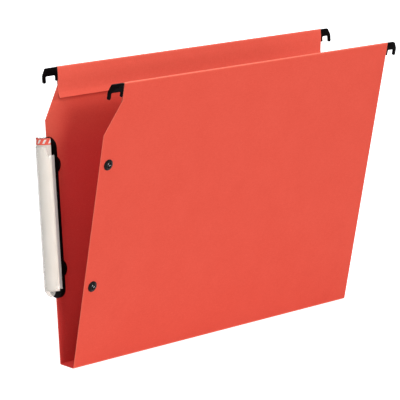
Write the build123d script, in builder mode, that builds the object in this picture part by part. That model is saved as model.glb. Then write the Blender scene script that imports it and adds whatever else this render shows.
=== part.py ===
"""Hanging file folder for a lateral cabinet, standing open in a V.

Frame: +X runs along the rails, with the label at the -X end, -Y is the front panel's side and +Z is up.
The origin lies on the underside of the base, midway between the hooks and between the two bottom creases.
Sizes are in millimetres and degrees.
"""
import math
import os

from build123d import *

# Card and overall sizes
card = 0.4
panel_height = 244.0
user_edge_projection = 15.5
base_width = 16.0
crease_bead_r = 0.45
crease_clearance = 0.1
front_lean_angle = 9.2
rear_lean_angle = 6.2

# Cut corner at the user side of each panel
corner_cut_start = 15.5
corner_cut_end = 42.5

# Folded hem round the rail
rail_thickness = 0.9
rail_height = 5.0
rail_edge_round = 0.3
rail_clearance = 0.1
rail_top_drop = 0.3
flap_depth = 26.0
flap_slant = 14.0

# Hook ends
cabinet_rail_spacing = 330.0
hook_hem_gap = 0.5
hook_cheek = 0.5
hook_wall = 0.85
left_notch_width = 11.0
right_notch_width = 8.0
outer_prong_width = 2.8
inner_prong_width = 1.6
outer_prong_length = 5.5
inner_prong_length = 4.6
hook_chamfer_x = 3.2
hook_chamfer_z = 5.8
hook_shoulder_round = 2.2
prong_round = 0.7
notch_round = 0.8
hook_edge_break = 0.2
rail_end_in_hook = 8.0
hook_fit = 0.05

# Press studs on the front panel
stud_edge_distance = 9.0
stud_rise = 2.0
stud_spacing = 105.0
stud_r = 4.6
stud_rim_height = 0.35
stud_height = 1.3
stud_crest_r = 2.7
stud_socket_r = 1.9
stud_socket_depth = 1.0
stud_socket_chamfer = 0.15
stud_shank_r = 1.5
stud_cap_thickness = 1.4
stud_cap_skin = 0.4
rim_round = 0.35
shank_fit = 0.05

# Label holder on the rear panel's user edge
holder_edge_gap = 13.5
holder_length = 133.0
holder_back_thickness = 3.6
lens_r = 8.9
lens_wall = 0.5
lens_skirt = 0.4
lens_top_drop = 6.5
lens_notch_depth = 5.4
lens_top_notch = 7.5
lens_fit = 0.05
holder_front_wall = 0.6
former_r = 6.6
former_length = 4.0
card_slot_clearance = 0.05
ear_r = 7.7
ear_centre_distance = 5.4
ear_spacing = 86.0
ear_thickness = 1.0

# Rivets through the holder's ears
rivet_head_r = 3.4
rivet_head_thickness = 1.1
rivet_head_bevel = 1.2
rivet_shank_r = 1.5
rivet_cap_r = 4.0
rivet_back_gap = 0.6
rivet_cap_thickness = 1.4
rivet_cap_skin = 0.4

# Paper label bowed inside the lens
label_paper = 0.25
label_clearance = 0.3
label_half_angle = 78.0
label_seat_drop = 1.6

# Places worked out from the sizes above
notch_mid = cabinet_rail_spacing / 2
hem_left = left_notch_width / 2 + inner_prong_width + hook_hem_gap - notch_mid
hem_right = notch_mid - right_notch_width / 2 - inner_prong_width - hook_hem_gap
hem_length = hem_right - hem_left
user_edge = hem_left - user_edge_projection
crease_y = base_width / 2
hem_gap = rail_thickness + 2 * rail_clearance
hem_r = card + hem_gap / 2
rail_offset = card / 2 + hem_gap / 2
rail_top = panel_height - hem_r - rail_top_drop
rail_left = hem_left - hook_hem_gap - rail_end_in_hook
rail_right = hem_right + hook_hem_gap + rail_end_in_hook
holder_top = panel_height - corner_cut_end - holder_edge_gap
holder_bottom = holder_top - holder_length
holder_mid_height = (holder_top + holder_bottom) / 2
holder_back_x = user_edge - holder_front_wall + lens_skirt + holder_back_thickness
lens_axis = user_edge - holder_front_wall
dome_centre_height = holder_bottom + lens_r + lens_fit


def lean_plane(crease, lean_angle):
    """Plane of a panel: x along the crease, y up the card, z towards the front."""
    turn = math.radians(lean_angle)
    forwards = (0, -math.cos(turn), -math.sin(turn))
    return Plane(origin=(0, crease, crease_bead_r), x_dir=(1, 0, 0), z_dir=forwards)


front_plane = lean_plane(-crease_y, front_lean_angle)
rear_plane = lean_plane(crease_y, -rear_lean_angle)

# Which way along its plane's normal each panel has the inside of the folder
FRONT_INSIDE = -1
REAR_INSIDE = 1


def section_plane(plane, inside, x_low, x_high):
    """Plane across a panel: x towards the inside, y up the card, extruding along the whole span."""
    x_start = x_low if inside < 0 else x_high
    start = plane.from_local_coords(Vector(x_start, 0, 0))
    return Plane(origin=start, x_dir=plane.z_dir * inside, z_dir=plane.x_dir * -inside)


def fastener_plane(plane, x, height, towards):
    """Plane through a fastener's axis: x across it and y along it, away from the card's middle."""
    centre = plane.from_local_coords(Vector(x, height, 0))
    axis = plane.z_dir * towards
    return Plane(origin=centre, x_dir=plane.x_dir, z_dir=plane.x_dir.cross(axis))


def save(part, node):
    part.label = node
    export_step(part, f"parts/{node}.step")


def make_panel(plane, inside, hole_centres, hole_r):
    """Card panel: flat sheet with a cut corner, a crease bead below and a hem folded inwards above."""
    span = hem_right - user_edge
    hem_axis_height = panel_height - hem_r
    slant_start = rail_top - rail_height - rail_clearance
    flap_end = panel_height - flap_depth
    glue_face = card / 2
    with BuildPart() as panel:
        with BuildSketch(plane.offset(-card / 2)):
            with BuildLine():
                Polyline(
                    (user_edge, 0),
                    (user_edge, panel_height - corner_cut_end),
                    (hem_left, panel_height - corner_cut_start),
                    (hem_left, hem_axis_height),
                    (hem_right, hem_axis_height),
                    (hem_right, 0),
                    close=True,
                )
            make_face()
            with Locations(*hole_centres):
                Circle(hole_r, mode=Mode.SUBTRACT)
        extrude(amount=card)
        with BuildSketch(section_plane(plane, inside, user_edge, hem_right)):
            Circle(crease_bead_r)
        extrude(amount=span)
        with BuildSketch(section_plane(plane, inside, hem_left, hem_right)):
            with BuildLine():
                outer_top = ThreePointArc(
                    (-card / 2, hem_axis_height),
                    (rail_offset, panel_height),
                    (rail_offset + hem_r, hem_axis_height),
                )
                Polyline(
                    outer_top @ 1,
                    (rail_offset + hem_r, slant_start),
                    (glue_face + card, slant_start - flap_slant),
                    (glue_face + card, flap_end),
                    (glue_face, flap_end),
                    (glue_face, slant_start - flap_slant),
                    (glue_face + hem_gap, slant_start),
                    (glue_face + hem_gap, hem_axis_height),
                )
                ThreePointArc(
                    (glue_face + hem_gap, hem_axis_height),
                    (rail_offset, panel_height - card),
                    (glue_face, hem_axis_height),
                )
                Line((glue_face, hem_axis_height), outer_top @ 0)
            make_face()
        extrude(amount=hem_length)
    return panel.part


def make_rail(plane, inside):
    """Steel strip in a hem, long enough to enter both hooks."""
    with BuildPart() as rail:
        with BuildSketch(section_plane(plane, inside, rail_left, rail_right)):
            with Locations((rail_offset, rail_top - rail_height / 2)):
                RectangleRounded(rail_thickness, rail_height, rail_edge_round)
        extrude(amount=rail_right - rail_left)
    return rail.part


def make_hook(plane, inside, side, hem_end, notch_width):
    """Black n-shaped rail end: a plate over a notch, a long outer prong and a shorter inner one."""
    inner_x = side * hem_end + hook_hem_gap
    notch_in = notch_mid - notch_width / 2
    notch_out = notch_mid + notch_width / 2
    outer_x = notch_out + outer_prong_width
    hook_top = rail_top + hook_fit + hook_wall
    roof = rail_top - rail_height - hook_fit - hook_wall
    outer_tip = roof - outer_prong_length
    inner_tip = roof - inner_prong_length
    below_roof = (roof + inner_tip) / 2
    above_roof = roof + hook_wall / 2
    hook_thickness = rail_thickness + 2 * (hook_fit + hook_cheek)
    hook_face = plane.offset(inside * rail_offset - hook_thickness / 2)
    pocket_plane = section_plane(plane, inside, rail_left - hook_fit, rail_right + hook_fit)
    with BuildPart() as hook:
        with BuildSketch(hook_face) as outline:
            with BuildLine():
                Polyline(
                    (side * inner_x, hook_top),
                    (side * (outer_x - hook_chamfer_x), hook_top),
                    (side * outer_x, hook_top - hook_chamfer_z),
                    (side * outer_x, outer_tip),
                    (side * notch_out, outer_tip),
                    (side * notch_out, roof),
                    (side * notch_in, roof),
                    (side * notch_in, inner_tip),
                    (side * inner_x, inner_tip),
                    close=True,
                )
            make_face()
            corners = outline.vertices()
            upper_corners = corners.filter_by(lambda corner: corner.Y > above_roof)
            shoulders = upper_corners.filter_by(lambda corner: side * corner.X > notch_in)
            notch_corners = corners.filter_by(lambda corner: below_roof < corner.Y < above_roof)
            prong_corners = corners.filter_by(lambda corner: corner.Y < below_roof)
            fillet(shoulders, hook_shoulder_round)
            fillet(notch_corners, notch_round)
            fillet(prong_corners, prong_round)
        extrude(amount=hook_thickness)
        chamfer(hook.faces().filter_by(plane).edges(), hook_edge_break)
        with BuildSketch(pocket_plane):
            with Locations((rail_offset, rail_top - rail_height / 2)):
                Rectangle(rail_thickness + 2 * hook_fit, rail_height + 2 * hook_fit)
        extrude(amount=rail_right - rail_left + 2 * hook_fit, mode=Mode.SUBTRACT)
    return hook.part


def make_stud(plane, inside, x, height):
    """Press stud: domed ring with a socket on the card's outer face, and a shank through the card."""
    seat = card / 2
    rim_top = seat + stud_rim_height
    crest = seat + stud_height
    socket_floor = crest - stud_socket_depth
    shank_end = -card / 2 - stud_cap_thickness + stud_cap_skin
    profile_plane = fastener_plane(plane, x, height, -inside)
    shoulder_r = (stud_r + stud_crest_r) / 2
    shoulder = rim_top + (crest - rim_top) * math.sqrt(3) / 2
    with BuildPart() as stud:
        with BuildSketch(profile_plane):
            with BuildLine():
                dome = ThreePointArc((stud_crest_r, crest), (shoulder_r, shoulder), (stud_r, rim_top))
                Polyline(
                    dome @ 1,
                    (stud_r, seat),
                    (stud_shank_r, seat),
                    (stud_shank_r, shank_end),
                    (0, shank_end),
                    (0, socket_floor),
                    (stud_socket_r, socket_floor),
                    (stud_socket_r, crest - stud_socket_chamfer),
                    (stud_socket_r + stud_socket_chamfer, crest),
                    dome @ 0,
                )
            make_face()
        revolve(axis=Axis(profile_plane.origin, profile_plane.y_dir))
    return stud.part


def make_cap(profile_plane, cap_r, thickness, shank_r, skin):
    """Round cap closing a fastener on the far face of the card, with a blind socket for the shank."""
    seat = card / 2
    with BuildPart() as cap:
        with BuildSketch(profile_plane):
            with BuildLine():
                Polyline(
                    (shank_r + shank_fit, seat),
                    (cap_r, seat),
                    (cap_r, seat + thickness - rim_round),
                    (cap_r - rim_round, seat + thickness),
                    (0, seat + thickness),
                    (0, seat + thickness - skin + shank_fit),
                    (shank_r + shank_fit, seat + thickness - skin + shank_fit),
                    close=True,
                )
            make_face()
        revolve(axis=Axis(profile_plane.origin, profile_plane.y_dir))
    return cap.part


def make_rivet(plane, inside, x, height):
    """Rivet with a low bevelled head on the holder's ear and a shank through ear and card."""
    seat = card / 2 + ear_thickness
    head_top = seat + rivet_head_thickness
    shank_end = -card / 2 - rivet_cap_thickness + rivet_cap_skin
    profile_plane = fastener_plane(plane, x, height, inside)
    with BuildPart() as rivet:
        with BuildSketch(profile_plane):
            with BuildLine():
                Polyline(
                    (0, head_top),
                    (rivet_head_r - rivet_head_bevel, head_top),
                    (rivet_head_r, seat + rim_round),
                    (rivet_head_r, seat),
                    (rivet_shank_r, seat),
                    (rivet_shank_r, shank_end),
                    (0, shank_end),
                    close=True,
                )
            make_face()
        revolve(axis=Axis(profile_plane.origin, profile_plane.y_dir))
    return rivet.part


def make_holder(plane, inside, ear_heights, rivet_centres):
    """Black holder: back slotted for the card's edge, front with a former for the label, two ears."""
    back_face = Plane(
        origin=plane.from_local_coords(Vector(holder_back_x, holder_mid_height, 0)),
        x_dir=plane.z_dir,
        z_dir=plane.x_dir * -1,
    )
    head = Plane(
        origin=plane.from_local_coords(Vector(lens_axis, holder_top, 0)),
        x_dir=plane.x_dir,
        z_dir=plane.y_dir,
    )
    rebate = lens_wall + lens_fit
    front_width = 2 * (lens_r - rebate)
    front_length = holder_length - 2 * rebate
    slot_depth = holder_back_x - user_edge
    ear_root = holder_back_x - holder_back_thickness
    ear_x = user_edge + ear_centre_distance
    with BuildPart() as holder:
        with BuildSketch(back_face):
            SlotOverall(holder_length, 2 * lens_r, rotation=90)
        extrude(amount=holder_back_thickness)
        with BuildSketch(back_face):
            SlotOverall(front_length, front_width, rotation=90)
        extrude(amount=holder_back_thickness + lens_skirt)
        with BuildSketch(head):
            with BuildLine():
                bow = ThreePointArc((0, former_r), (-former_r, 0), (0, -former_r))
                Line(bow @ 1, bow @ 0)
            make_face()
        extrude(amount=-former_length)
        with BuildSketch(plane.offset(inside * card / 2)):
            with Locations(*[(ear_x, height) for height in ear_heights]):
                Circle(ear_r)
            with Locations((ear_root, holder_mid_height)):
                Rectangle(2 * ear_r, holder_length, align=(Align.MAX, Align.CENTER), mode=Mode.SUBTRACT)
            with Locations(*rivet_centres):
                Circle(rivet_shank_r + shank_fit, mode=Mode.SUBTRACT)
        extrude(amount=inside * ear_thickness)
        with BuildSketch(back_face):
            Rectangle(card + 2 * card_slot_clearance, holder_length)
        extrude(amount=slot_depth, mode=Mode.SUBTRACT)
    return holder.part


def lens_section(r, skirt):
    """U-shaped section of the lens about its axis: a half circle with skirts towards the holder."""
    with BuildLine() as outline:
        bow = ThreePointArc((0, r), (-r, 0), (0, -r))
        Polyline(bow @ 1, (skirt, -r), (skirt, r), bow @ 0)
    return outline.line


def make_lens(plane):
    """Clear half-round cover, open at its top, domed at its bottom, with its corners cut away."""
    foot = Plane(
        origin=plane.from_local_coords(Vector(lens_axis, dome_centre_height, 0)),
        x_dir=plane.x_dir,
        z_dir=plane.y_dir,
    )
    side_view = Plane(origin=foot.origin, x_dir=plane.x_dir, z_dir=plane.z_dir)
    lens_top = holder_top - lens_top_drop - dome_centre_height
    inner_r = lens_r - lens_wall
    cut_reach = lens_notch_depth + lens_skirt
    with BuildPart() as lens:
        with BuildSketch(foot):
            add(lens_section(lens_r, lens_skirt))
            make_face()
        extrude(amount=lens_top)
        with BuildSketch(side_view):
            with BuildLine():
                CenterArc((0, 0), lens_r, 180, 90)
                Line((0, -lens_r), (0, 0))
                Line((0, 0), (-lens_r, 0))
            make_face()
        revolve(axis=Axis(foot.origin, foot.z_dir))
        with BuildSketch(foot):
            add(lens_section(inner_r, lens_skirt))
            make_face()
        extrude(amount=lens_top, mode=Mode.SUBTRACT)
        with BuildSketch(side_view):
            with BuildLine():
                CenterArc((0, 0), inner_r, 180, 90)
                Line((0, -inner_r), (0, 0))
                Line((0, 0), (-inner_r, 0))
            make_face()
        revolve(axis=Axis(foot.origin, foot.z_dir), mode=Mode.SUBTRACT)
        with BuildSketch(side_view):
            with Locations((-lens_notch_depth, lens_top)):
                Rectangle(cut_reach + lens_r, lens_top_notch, align=(Align.MIN, Align.MAX))
            with Locations((-lens_notch_depth, 0)):
                Rectangle(cut_reach + lens_r, 2 * lens_r, align=(Align.MIN, Align.MAX))
        extrude(amount=lens_r + lens_wall, both=True, mode=Mode.SUBTRACT)
    return lens.part


def make_label(plane):
    """Paper label bowed to the inside of the lens, standing in the lens's domed end."""
    foot = Plane(
        origin=plane.from_local_coords(Vector(lens_axis, dome_centre_height - label_seat_drop, 0)),
        x_dir=plane.x_dir,
        z_dir=plane.y_dir,
    )
    outer_r = lens_r - lens_wall - label_clearance
    inner_r = outer_r - label_paper
    first = 180 - label_half_angle
    sweep_angle = 2 * label_half_angle
    with BuildPart() as label:
        with BuildSketch(foot):
            with BuildLine():
                outer = CenterArc((0, 0), outer_r, first, sweep_angle)
                inner = CenterArc((0, 0), inner_r, first, sweep_angle)
                Line(outer @ 0, inner @ 0)
                Line(outer @ 1, inner @ 1)
            make_face()
        extrude(amount=holder_top - dome_centre_height + label_seat_drop)
    return label.part


os.makedirs("parts", exist_ok=True)

# Base strip between the two crease beads
base_half = crease_y - crease_bead_r - crease_clearance
with BuildPart() as base:
    with BuildSketch(Plane.XY):
        with Locations(((hem_right + user_edge) / 2, 0)):
            Rectangle(hem_right - user_edge, 2 * base_half)
    extrude(amount=card)
save(base.part, "base_gusset")

# Panels with their fastener holes
stud_x = user_edge + stud_edge_distance
stud_mid_height = holder_mid_height + stud_rise
stud_heights = {
    "lower": stud_mid_height - stud_spacing / 2,
    "upper": stud_mid_height + stud_spacing / 2,
}
stud_centres = [(stud_x, height) for height in stud_heights.values()]
rivet_x = holder_back_x + rivet_back_gap + rivet_cap_r
ear_heights = {
    "lower": holder_mid_height - ear_spacing / 2,
    "upper": holder_mid_height + ear_spacing / 2,
}
rivet_centres = [(rivet_x, height) for height in ear_heights.values()]
save(make_panel(front_plane, FRONT_INSIDE, stud_centres, stud_shank_r + shank_fit), "front_panel")
save(make_panel(rear_plane, REAR_INSIDE, rivet_centres, rivet_shank_r + shank_fit), "rear_panel")

# Rails and hook ends of both panels
for name, plane, inside in (("front", front_plane, FRONT_INSIDE), ("rear", rear_plane, REAR_INSIDE)):
    save(make_rail(plane, inside), f"{name}_rail")
    save(make_hook(plane, inside, -1, hem_left, left_notch_width), f"{name}_left_hook")
    save(make_hook(plane, inside, 1, hem_right, right_notch_width), f"{name}_right_hook")

# Press studs and their inner caps
for level, height in stud_heights.items():
    save(make_stud(front_plane, FRONT_INSIDE, stud_x, height), f"front_{level}_stud")
    stud_back = fastener_plane(front_plane, stud_x, height, FRONT_INSIDE)
    stud_cap = make_cap(stud_back, stud_r, stud_cap_thickness, stud_shank_r, stud_cap_skin)
    save(stud_cap, f"front_{level}_stud_cap")

# Label holder with its rivets, lens and label
save(make_holder(rear_plane, REAR_INSIDE, ear_heights.values(), rivet_centres), "label_holder")
for level, height in ear_heights.items():
    save(make_rivet(rear_plane, REAR_INSIDE, rivet_x, height), f"holder_{level}_rivet")
    rivet_back = fastener_plane(rear_plane, rivet_x, height, -REAR_INSIDE)
    rivet_cap = make_cap(rivet_back, rivet_cap_r, rivet_cap_thickness, rivet_shank_r, rivet_cap_skin)
    save(rivet_cap, f"holder_{level}_rivet_cap")
save(make_lens(rear_plane), "label_lens")
save(make_label(rear_plane), "label_insert")
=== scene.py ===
"""Looks of the hanging file folder: kraft card, steel rails, black mouldings, clear lens and paper label.

Sizes are in millimetres, apart from the lamps' and the floor's, which are in metres.
Each panel has axes of its own: along the rail, up the card, in towards the pocket.
"""
import math

import bmesh
import bpy
from mathutils import Matrix, Vector


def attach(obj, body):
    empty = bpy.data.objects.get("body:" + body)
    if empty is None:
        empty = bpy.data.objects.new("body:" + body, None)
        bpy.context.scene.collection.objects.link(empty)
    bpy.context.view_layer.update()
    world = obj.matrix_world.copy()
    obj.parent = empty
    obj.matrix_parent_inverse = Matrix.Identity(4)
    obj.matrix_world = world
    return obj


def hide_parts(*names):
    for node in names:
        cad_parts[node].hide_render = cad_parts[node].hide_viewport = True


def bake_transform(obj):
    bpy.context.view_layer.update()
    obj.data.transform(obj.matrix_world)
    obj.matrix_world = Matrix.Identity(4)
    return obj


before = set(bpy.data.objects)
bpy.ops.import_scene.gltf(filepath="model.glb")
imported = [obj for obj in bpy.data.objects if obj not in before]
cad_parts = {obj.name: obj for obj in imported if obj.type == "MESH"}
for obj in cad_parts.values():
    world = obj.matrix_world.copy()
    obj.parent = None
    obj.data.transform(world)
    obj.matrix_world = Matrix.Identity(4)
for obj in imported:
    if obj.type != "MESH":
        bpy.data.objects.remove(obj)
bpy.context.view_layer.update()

MM = 0.001
FIT = 0.05

# Card
CARD = 0.4
PANEL_HEIGHT = 244.0
FRONT_LEAN = 9.2
REAR_LEAN = 6.2
CREASE_Y = 8.0
CREASE_Z = 0.45
CREASE_BEND_R = 0.55
CREASE_STRIP_TOP = 2 * CREASE_Z
CREASE_STRIP_END = CREASE_Y - 1.1
CREASE_BASE_ROW = 0.8
CUT_WIDTH = 15.5
CUT_LOW = PANEL_HEIGHT - 42.5
CUT_HIGH = PANEL_HEIGHT - 15.5

# Hem, flap and rail
HEM_GAP = 1.1
HEM_AXIS = PANEL_HEIGHT - CARD - HEM_GAP / 2
RAIL_OFFSET = CARD / 2 + HEM_GAP / 2
RAIL_HEIGHT = 5.0
RAIL_TOP = HEM_AXIS - 0.3
SLANT_TOP = RAIL_TOP - RAIL_HEIGHT - 0.1
SLANT_FOOT = SLANT_TOP - 14.0
FLAP_END = PANEL_HEIGHT - 26.0
FLAP_LIFT = 1.0
FLAP_INSET = 0.7
CURL_LENGTH = 5.0

# Hooks
NOTCH_MID = 165.0
LEFT_NOTCH = 11.0
RIGHT_NOTCH = 8.0
HOOK_GAP = 0.5
HOOK_WALL = 0.9
HOOK_THICKNESS = 2.0
HOOK_TOP = RAIL_TOP + HOOK_WALL
NOTCH_ROOF = RAIL_TOP - RAIL_HEIGHT - HOOK_WALL
INNER_PRONG = 1.6
INNER_TIP = NOTCH_ROOF - 4.6
INNER_TIP_R = 0.7
OUTER_PRONG = 2.8
OUTER_TIP = NOTCH_ROOF - 5.5
OUTER_TIP_R = 1.25
NOTCH_R = 0.8
SHOULDER_R = 2.2
SHOULDER_WIDTH = 3.2
SHOULDER_DROP = 5.8
PIP_R = 0.85
PIP_RISE = 0.1
PIP_PLACES = (2.6, 5.6)

# Ends of the card, beside the hooks
HEM_LEFT = LEFT_NOTCH / 2 + INNER_PRONG + HOOK_GAP - NOTCH_MID
HEM_RIGHT = NOTCH_MID - RIGHT_NOTCH / 2 - INNER_PRONG - HOOK_GAP
USER_EDGE = HEM_LEFT - CUT_WIDTH

# Label holder, lens and label
HOLDER_TOP = CUT_LOW - 13.5
HOLDER_BOTTOM = HOLDER_TOP - 133.0
HOLDER_MID = (HOLDER_TOP + HOLDER_BOTTOM) / 2
LENS_R = 8.9
LENS_WALL = 0.5
LENS_SKIRT = 0.4
LENS_RIM = 0.12
LENS_FOOT_SHADE = 2.5
LENS_AXIS_X = USER_EDGE - 0.6
LENS_FOOT = HOLDER_BOTTOM + LENS_R + FIT
LENS_TOP = HOLDER_TOP - 6.5
LENS_NOTCH = 5.4
LENS_NOTCH_FOOT = LENS_TOP - 7.5
HOLDER_FRONT_X = LENS_AXIS_X + LENS_SKIRT
HOLDER_BACK_X = HOLDER_FRONT_X + 3.6
EAR_R = 7.7
EAR_X = USER_EDGE + 5.4
EAR_THICKNESS = 1.0
EAR_FILLET_R = 2.6
FLANGE_MARGIN = 10.0
FORMER_R = 6.6
FORMER_LENGTH = 4.0
LABEL_PAPER = 0.25
LABEL_R = LENS_R - LENS_WALL - 0.3 - LABEL_PAPER / 2
LABEL_HALF_ANGLE = 78.0
LABEL_FOOT = LENS_FOOT - 1.6
LABEL_HEAD = 8.0
BAND_HEIGHT = 5.4
BAR_PITCH = 5.2
BAR_SLANT = 0.6
BAR_HALF_WIDTH = 0.95
BAR_HALF_HEIGHT = 1.6

# Press studs and rivets
SHANK_R = 1.5
SHANK_END = 1.2
CAP_THICKNESS = 1.4
CAP_DISH = 0.3
CAP_RIM_R = 0.45
STUD_X = USER_EDGE + 9.0
STUD_STEP = 105.0
STUD_LOW = HOLDER_MID + 2.0 - STUD_STEP / 2
STUD_R = 4.6
STUD_RIM_R = 0.22
SOCKET_R = 1.9
SOCKET_FLOOR = 0.5
LIP_R = 0.54
LIP_LEVEL = 0.96
LIP_MIDDLE = SOCKET_R + LIP_R
STUD_DOME_R = 3.53
STUD_DOME_TOP = 1.19
POLISH_R = 2.4
POLISH_REACH = 0.42
POLISH_LEVEL = 0.75
SLIT_HALF_ANGLE = 6.0
SLIT_DEPTH = 0.34
SLIT_INNER_R = 1.8
SLIT_DEEP_R = 2.3
SLIT_OUTER_R = 3.0
SLIT_REACH = 0.5
SLIT_LEVEL = 1.1
WIRE_R = 0.21
WIRE_LEVEL = 0.98
WIRE_START = -0.3
WIRE_LENGTH = 1.4
WIRE_ASIDE = 1.42
WIRE_BOW = 0.24
WIRE_BOW_REACH = 1.2
WIRE_TURN = -40.0
RIVET_X = HOLDER_BACK_X + 4.6
RIVET_STEP = 86.0
RIVET_LOW = HOLDER_MID - RIVET_STEP / 2
RIVET_R = 3.4
RIVET_CAP_R = 4.0
RIVET_CROWN_R = 1.05
RIVET_PIT = 0.2
RIVET_PIT_R = 0.55
RIVET_DOME_WIDTH = 2.2
RIVET_DOME_FOOT = 0.36
RIVET_DOME_RISE = 0.68

# Mesh steps of the lens and the label
LENS_STEPS = 14
LENS_SIDE_STEPS = 12
LENS_TURNS = 28
LENS_ROW_STEP = 6.0
LENS_HEAD_STEP = 2.6
LABEL_ROW_STEP = 6.0
LABEL_HEAD_STEP = 1.0
LABEL_STEPS = 18

# Mesh rows and columns of the card
FAR_FROM_FOLD = 99.0
CREASE_ROWS = (1.6, 3.0, 6.0)
ROW_STEP = 11.0
CORNER_ROWS = (-0.8, 0.0, 0.8)
# Rows close under the flap's end, for its painted shadow line
FLAP_SHADOW_ROWS = (10.0, 6.0, 3.0, 1.8, 1.0, 0.2, -1.0, -4.0)
FOLD_ROWS = (10.05, 5.05, 2.05, 0.65, 0.0)
FOLD_STEPS = 12
INNER_HEM_ROWS = (3.85, 1.85, 0.75)
SLANT_STEPS = 8
FLAP_ROWS = (4.6, 3.4, 2.0, 1.2, 0.7, 0.35, 0.12, 0.0)
BEND_STEPS = 10
BASE_ROW_STEP = 1.15
EDGE_COLUMNS = (0.0, 0.25, 0.6, 1.2, 2.5, 5.0)
WIDE_MARGIN = 12.0
WIDE_COLUMNS = 28

# Slack of the card, wear with painted highlight at its folds and cut edges, painted shade in the pocket and at
# its base, a painted shadow under the flap, and painted light on the flap and the pocket's open ends
SLACK_LEFT = -140.0
SLACK_TOP = FLAP_END - 4.0
SLACK_BOW = 0.45
RIPPLE = 0.16
RIPPLE_ALONG = 61.0
RIPPLE_UP = 47.0
# Paler folds and cut edges: wear with a painted highlight
FOLD_WEAR_AND_HIGHLIGHT = 0.75
FOLD_HIGHLIGHT_REACH = 0.85
EDGE_WEAR_AND_HIGHLIGHT = 0.4
EDGE_HIGHLIGHT_REACH = 0.35
STRIP_FROM_FOLD = 2.0
PANEL_FROM_FOLD = 0.15
# Painted shade inside the pocket, deeper away from its open ends and below the flap
POCKET_SHADE_REACH = 36.0
POCKET_SHADE_LEAST = 0.5
# Painted light: paler on the flap and along the pocket's open ends
FLAP_PAINTED_LIGHT = 0.13
EDGE_STRIP_PAINTED_LIGHT = 0.18
# Painted shadow at the pocket's base and in a line under the flap
PAINTED_BASE_SHADE = 0.30
BASE_SHADE_REACH = 34.0
PAINTED_FLAP_SHADOW = 0.5
FLAP_SHADOW_REACH = 1.7
# Lighter painted shade just below the flap
MOUTH_SHADE = 0.15
MOUTH_REACH = 46.0

# Floor, and the camera of the photograph
FLOOR_HALF = 9.0
FLOOR_DROP = 0.0003
CAMERA_BEARING = -45.2
CAMERA_ELEVATION = 13.22
CAMERA_ROLL = 1.387
CAMERA_DISTANCE = 2055.3
CAMERA_LENS = 215.57
CAMERA_SENSOR = 36.0
AIM_HEIGHT = 114.42
AIM_ASIDE = -16.12
LIGHT_AIM_HEIGHT = 120.0


def panel_axes(crease_y, lean, inward):
    """Matrix from a panel's own millimetres to the shared frame."""
    turn = math.radians(lean)
    up = Vector((0, -math.sin(turn), math.cos(turn)))
    towards_pocket = Vector((0, math.cos(turn), math.sin(turn))) * inward
    axes = Matrix((Vector((1, 0, 0)), up, towards_pocket)).transposed().to_4x4()
    place = Matrix.Translation(Vector((0, crease_y, CREASE_Z)) * MM)
    return place @ axes @ Matrix.Scale(MM, 4)


FRONT = panel_axes(-CREASE_Y, FRONT_LEAN, 1)
REAR = panel_axes(CREASE_Y, -REAR_LEAN, -1)
WHOLE = Matrix.Scale(MM, 4)


# Small tools for meshes


def new_object(name, data):
    thing = bpy.data.objects.new(name, data)
    bpy.context.scene.collection.objects.link(thing)
    return thing


def new_piece(name, bm):
    """Object with the mesh that was built in bm."""
    mesh = bpy.data.meshes.new(name)
    bm.to_mesh(mesh)
    bm.free()
    return new_object(name, mesh)


def settle_modifiers(piece):
    """The shape that the modifiers give becomes the piece's plain mesh."""
    bpy.context.view_layer.update()
    graph = bpy.context.evaluated_depsgraph_get()
    shape = bpy.data.meshes.new_from_object(piece.evaluated_get(graph))
    piece.modifiers.clear()
    piece.data = shape


def add_thickness(piece, thickness, offset=0.0, even=True):
    """Gives a sheet its thickness: offset 0 is half on each side, and -1 is all on the inner side."""
    wall = piece.modifiers.new("thickness", "SOLIDIFY")
    wall.thickness = thickness
    wall.offset = offset
    wall.use_even_offset = even


def set_in_place(piece, axes, sharp=32.0):
    """Moves the mesh to its place in the shared frame, with faces outwards, smooth between sharp edges."""
    bm = bmesh.new()
    bm.from_mesh(piece.data)
    bmesh.ops.transform(bm, matrix=axes, verts=bm.verts)
    bmesh.ops.recalc_face_normals(bm, faces=bm.faces)
    bm.to_mesh(piece.data)
    bm.free()
    piece.data.shade_smooth()
    piece.data.set_sharp_from_angle(angle=math.radians(sharp))


def finish_piece(piece, material, slot, body, *nodes):
    """Gives a piece its finish and its body, and hides the CAD nodes that it stands for."""
    if not piece.data.materials:
        piece.data.materials.append(material)
    if nodes:
        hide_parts(*nodes)
    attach(piece, body)


def fade(distance, reach):
    return math.exp(-((distance / reach) ** 2))


def ease(share):
    """Share from 0 to 1 that starts and ends gently."""
    return share * share * (3 - 2 * share)


def spaced(low, high, step):
    """Evenly spaced values from low to high, about a step apart."""
    count = max(1, round((high - low) / step))
    return [low + (high - low) * index / count for index in range(count + 1)]


def arc_points(centre, radius, first, last, steps):
    """Points (u, v) of an arc, from one angle in degrees to the other."""
    points = []
    for step in range(steps + 1):
        angle = math.radians(first + (last - first) * step / steps)
        points.append((centre[0] + radius * math.cos(angle), centre[1] + radius * math.sin(angle)))
    return points


def rounded_outline(corners, steps=6):
    """Closed outline through corners (u, v, radius), each turned on an arc of its radius."""
    outline = []
    for index, (u, v, radius) in enumerate(corners):
        corner = Vector((u, v))
        before = (Vector(corners[index - 1][:2]) - corner).normalized()
        after = (Vector(corners[(index + 1) % len(corners)][:2]) - corner).normalized()
        half = before.angle(after) / 2
        centre = corner + (before + after).normalized() * (radius / math.sin(half))
        reach = radius / math.tan(half)
        first = corner + before * reach - centre
        last = corner + after * reach - centre
        start = math.atan2(first.y, first.x)
        sweep = (math.atan2(last.y, last.x) - start + math.pi) % (2 * math.pi) - math.pi
        outline += arc_points(centre, radius, math.degrees(start), math.degrees(start + sweep), steps)
    return outline


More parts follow.
